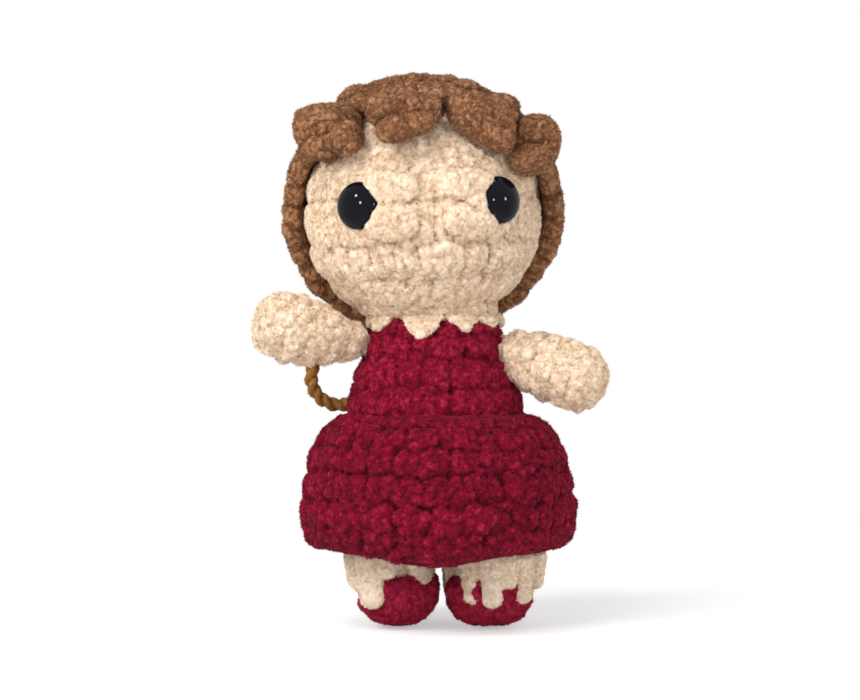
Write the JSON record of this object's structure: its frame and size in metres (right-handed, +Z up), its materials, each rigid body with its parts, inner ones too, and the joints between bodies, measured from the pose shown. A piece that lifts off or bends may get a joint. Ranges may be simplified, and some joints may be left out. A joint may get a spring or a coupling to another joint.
{
  "type": "plush doll",
  "caption": "Standing crocheted plush doll with rolled fringe curls, safety eyes, a bell skirt, posable arms and legs and a cord loop at the back.",
  "frame": {"origin": "on the floor, under the middle of the doll's outline (the back loop not counted)", "axes": "+Z up, the face looks along -Y, the doll's own left is +X"},
  "size_m": [0.1093, 0.0845, 0.168],
  "materials": {
    "skin_yarn": "tan chenille yarn with a short soft pile",
    "dress_yarn": "burgundy chenille yarn with a short soft pile",
    "hair_yarn": "brown chenille yarn with a short soft pile",
    "cord": "golden brown twisted yarn",
    "eye": "glossy black moulded plastic",
    "washer": "plain moulded plastic",
    "filling": "white polyester fibre filling"
  },
  "bodies": {
    "torso": {"bodice": "dress_yarn", "body_stuffing": "filling", "skirt": "dress_yarn", "neck_spikes": "skin_yarn", "back_loop": "cord"},
    "head": {"head_cover": "skin_yarn", "head_stuffing": "filling", "left_eye": "eye", "right_eye": "eye", "left_eye_washer": "washer", "right_eye_washer": "washer", "hair_cap": "hair_yarn", "curl_1": "hair_yarn", "curl_2": "hair_yarn", "curl_3": "hair_yarn", "curl_4": "hair_yarn"},
    "left_arm": {"left_arm_cover": "skin_yarn", "left_arm_stuffing": "filling"},
    "right_arm": {"right_arm_cover": "skin_yarn", "right_arm_stuffing": "filling"},
    "left_leg": {"left_leg_cover": "skin_yarn", "left_leg_stuffing": "filling", "left_shoe": "dress_yarn"},
    "right_leg": {"right_leg_cover": "skin_yarn", "right_leg_stuffing": "filling", "right_shoe": "dress_yarn"}
  },
  "joints": [
    {"name": "neck_turn", "type": "hinge", "parent": "torso", "child": "head", "pos_m": [0.0018, 0, 0.0942], "axis": [0, 0, 1], "range_deg": [-20, 20], "stiffness_Nm_per_rad": 0.12},
    {"name": "left_shoulder", "type": "hinge", "parent": "torso", "child": "left_arm", "pos_m": [0.0252, -0.0045, 0.0827], "axis": [0, -1, 0], "range_deg": [-7, 40], "stiffness_Nm_per_rad": 0.03},
    {"name": "right_shoulder", "type": "hinge", "parent": "torso", "child": "right_arm", "pos_m": [-0.0207, -0.0045, 0.086], "axis": [0, 1, 0], "range_deg": [-35, 15], "stiffness_Nm_per_rad": 0.03},
    {"name": "left_hip", "type": "hinge", "parent": "torso", "child": "left_leg", "pos_m": [0.0188, 0, 0.033], "axis": [-1, 0, 0], "range_deg": [-25, 25], "stiffness_Nm_per_rad": 0.4},
    {"name": "right_hip", "type": "hinge", "parent": "torso", "child": "right_leg", "pos_m": [-0.0118, 0, 0.033], "axis": [-1, 0, 0], "range_deg": [-25, 25], "stiffness_Nm_per_rad": 0.4}
  ]
}
